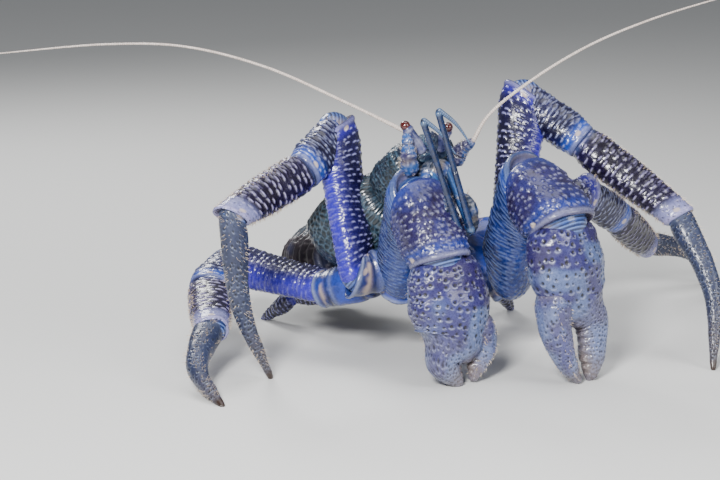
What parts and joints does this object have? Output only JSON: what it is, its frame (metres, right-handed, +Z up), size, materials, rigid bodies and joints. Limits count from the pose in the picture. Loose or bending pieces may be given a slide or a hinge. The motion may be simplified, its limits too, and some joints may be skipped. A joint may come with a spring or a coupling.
{
  "type": "coconut crab",
  "caption": "Still, life-size coconut crab standing with its head raised, both claws lowered in front and long feelers spread.",
  "frame": {"origin": "middle of the whole crab's bounding box, at floor level", "axes": "+Z up, +X to the crab's left side and along its spread feelers, which is the longest extent, -Y the way it faces"},
  "size_m": [0.5366, 0.3466, 0.2541],
  "materials": {
    "carapace": "glossy dark teal shell with a pale network",
    "skin": "leathery dark violet skin",
    "claw": "glossy violet-blue shell with dark pits",
    "leg_shell": "glossy indigo shell with pale ridges",
    "pale_shell": "smooth pale violet shell",
    "feeler": "dull tan, finely ringed",
    "antennule": "glossy steel blue",
    "eye": "wet dark red"
  },
  "bodies": {
    "root": {"carapace_shield": "carapace", "carapace_rear": "carapace", "thorax": "skin", "abdomen": "skin", "tergite_1": "carapace", "tergite_2": "carapace", "tergite_3": "carapace", "tergite_4": "carapace", "tergite_5": "carapace", "tail_fan": "carapace", "maxilliped_right": "pale_shell", "maxilliped_left": "pale_shell", "claw_right_finger": "claw", "claw_right_palm": "claw", "claw_right_carpus": "leg_shell", "claw_right_merus": "leg_shell", "claw_right_base": "skin", "claw_left_finger": "claw", "claw_left_palm": "claw", "claw_left_carpus": "leg_shell", "claw_left_merus": "leg_shell", "claw_left_base": "skin", "leg2_right_dactyl": "leg_shell", "leg2_right_propodus": "leg_shell", "leg2_right_carpus": "leg_shell", "leg2_right_merus": "leg_shell", "leg2_right_base": "skin", "leg2_left_dactyl": "leg_shell", "leg2_left_propodus": "leg_shell", "leg2_left_carpus": "leg_shell", "leg2_left_merus": "leg_shell", "leg2_left_base": "skin", "leg3_right_dactyl": "leg_shell", "leg3_right_propodus": "leg_shell", "leg3_right_carpus": "leg_shell", "leg3_right_merus": "leg_shell", "leg3_right_base": "skin", "leg3_left_dactyl": "leg_shell", "leg3_left_propodus": "leg_shell", "leg3_left_carpus": "leg_shell", "leg3_left_merus": "leg_shell", "leg3_left_base": "skin", "leg4_right_chela": "leg_shell", "leg4_right_carpus": "leg_shell", "leg4_right_arm": "leg_shell", "leg4_left_chela": "leg_shell", "leg4_left_carpus": "leg_shell", "leg4_left_arm": "leg_shell", "antenna_right": "feeler", "antenna_stalk_right": "pale_shell", "antenna_left": "feeler", "antenna_stalk_left": "pale_shell", "eye_right": "eye", "eye_stalk_right": "pale_shell", "eye_left": "eye", "eye_stalk_left": "pale_shell", "antennule_right": "antennule", "antennule_left": "antennule", "mouth": "carapace"}
  },
  "joints": []
}
